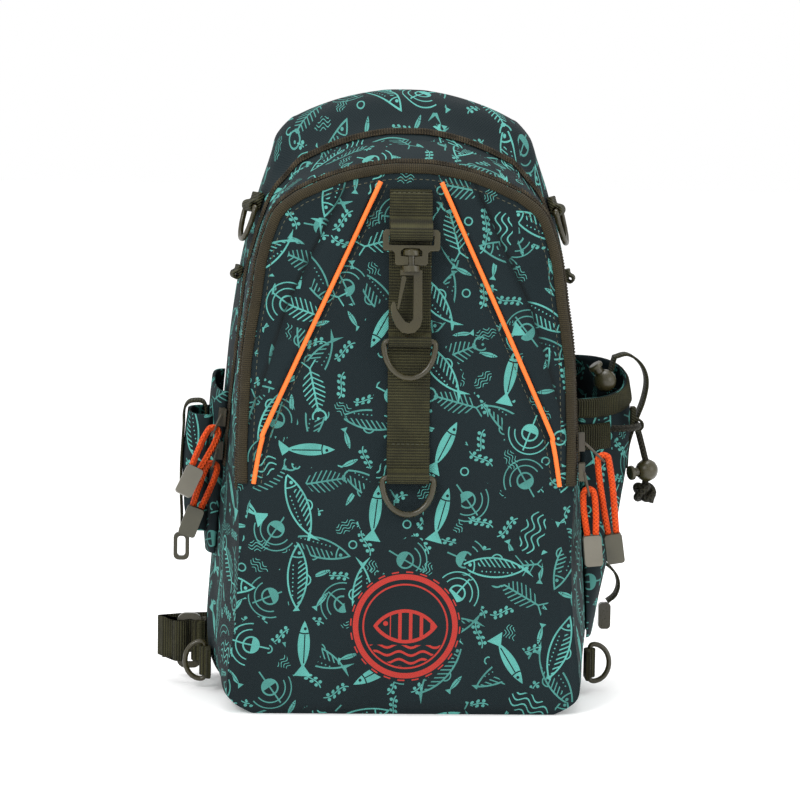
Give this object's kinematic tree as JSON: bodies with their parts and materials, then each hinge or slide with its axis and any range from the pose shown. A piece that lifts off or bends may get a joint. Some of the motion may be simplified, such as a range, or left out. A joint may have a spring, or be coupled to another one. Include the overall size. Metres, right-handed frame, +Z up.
{
  "type": "fishing tackle sling bag",
  "caption": "Teardrop fishing tackle sling bag with zipped compartments, side pockets, webbing rings, snap hook, cord pulls and one padded cross-body strap.",
  "frame": {"origin": "middle of the base plane, where the divider between the two compartments lies 8 mm behind the origin plane of the front", "axes": "+Z up from the base, -Y towards the front panel, +X to the right of the front view"},
  "size_m": [0.3048, 0.1392, 0.3637],
  "materials": {
    "cloth": "matte",
    "webbing": "matte",
    "binding": "matte",
    "plastic": "satin",
    "orange_cord": "matte",
    "pull_rubber": "matte",
    "bronze": "satin"
  },
  "bodies": {
    "bag": {"front_pocket": "cloth", "main_shell": "cloth", "back_panel": "cloth", "front_binding": "binding", "front_zip": "binding", "back_zip": "binding", "piping_left": "orange_cord", "piping_right": "orange_cord", "webbing_strip": "webbing", "top_fold": "webbing", "mid_fold": "webbing", "swivel_loop": "plastic", "shoulder_tab_left": "webbing", "side_tab_left": "webbing", "lower_tab_left": "webbing", "shoulder_tab_right": "webbing", "side_tab_right": "webbing", "lower_tab_right": "webbing", "bottle_pocket": "cloth", "pocket_rim": "webbing", "pocket_patch": "webbing", "tool_sleeve": "cloth", "tool_pouch": "cloth", "pouch_strap": "webbing", "pouch_clip": "plastic", "pocket_strap": "webbing", "lock_tab": "webbing", "lock_cord": "webbing", "cord_lock": "plastic", "cord_knot": "webbing", "inner_lock": "plastic", "zip_slider_1": "bronze", "pull_end_1": "pull_rubber", "pull_cord_1": "orange_cord", "zip_slider_2": "bronze", "pull_end_2": "pull_rubber", "pull_cord_2": "orange_cord", "zip_slider_3": "bronze", "pull_end_3": "pull_rubber", "pull_cord_3": "orange_cord", "zip_slider_4": "bronze", "pull_end_4": "pull_rubber", "pull_cord_4": "orange_cord", "shoulder_strap": "webbing", "strap_lock": "plastic", "strap_tab": "webbing", "strap_webbing": "webbing", "hook_webbing": "webbing", "hook_tongue": "plastic"},
    "hook": {"snap_hook": "plastic"},
    "gate": {"hook_gate": "plastic"},
    "middle_ring": {"mid_ring": "plastic"},
    "lower_front_ring": {"low_ring": "plastic"},
    "left_shoulder_ring": {"shoulder_ring_left": "plastic"},
    "right_shoulder_ring": {"shoulder_ring_right": "plastic"},
    "left_lower_ring": {"lower_ring_left": "plastic"},
    "right_lower_ring": {"lower_ring_right": "plastic"},
    "outer_button": {"lock_button": "plastic"},
    "inner_button": {"inner_button": "plastic"}
  },
  "joints": [
    {"name": "hook_swivel", "type": "hinge", "parent": "bag", "child": "hook", "pos_m": [0, -0.0622, 0.28184], "axis": [0, 0.1146, 0.9934], "range_deg": [-20, 180]},
    {"name": "gate_hinge", "type": "hinge", "parent": "hook", "child": "gate", "pos_m": [-0.00414, -0.06521, 0.25576], "axis": [0, -0.9934, 0.1146], "range_deg": [0, 20], "stiffness_Nm_per_rad": 0.02},
    {"name": "middle_ring_swing", "type": "hinge", "parent": "bag", "child": "middle_ring", "pos_m": [0, -0.0638, 0.21956], "axis": [-1, 0, 0], "range_deg": [0, 80]},
    {"name": "lower_front_ring_swing", "type": "hinge", "parent": "bag", "child": "lower_front_ring", "pos_m": [0, -0.06864, 0.1406], "axis": [-1, 0, 0], "range_deg": [0, 150]},
    {"name": "left_shoulder_ring_swing", "type": "hinge", "parent": "bag", "child": "left_shoulder_ring", "pos_m": [-0.09236, 0.01495, 0.29307], "axis": [-0.2284, 0.9736, 0], "range_deg": [0, 90]},
    {"name": "right_shoulder_ring_swing", "type": "hinge", "parent": "bag", "child": "right_shoulder_ring", "pos_m": [0.09239, 0.01497, 0.29305], "axis": [-0.2231, -0.9748, 0], "range_deg": [0, 90]},
    {"name": "left_lower_ring_swing", "type": "hinge", "parent": "bag", "child": "left_lower_ring", "pos_m": [-0.11713, 0.01, 0.0175], "axis": [0, 0, 1], "range_deg": [-75, 75]},
    {"name": "right_lower_ring_swing", "type": "hinge", "parent": "bag", "child": "right_lower_ring", "pos_m": [0.11716, 0.01, 0.0175], "axis": [0, 0, 1], "range_deg": [-75, 75]},
    {"name": "outer_button_press", "type": "slide", "parent": "bag", "child": "outer_button", "axis": [0.9278, 0.353, 0.121], "range_m": [0, 0.003], "stiffness_N_per_m": 300},
    {"name": "inner_button_press", "type": "slide", "parent": "bag", "child": "inner_button", "axis": [0.5667, 0.1193, -0.8152], "range_m": [0, 0.003], "stiffness_N_per_m": 300}
  ]
}
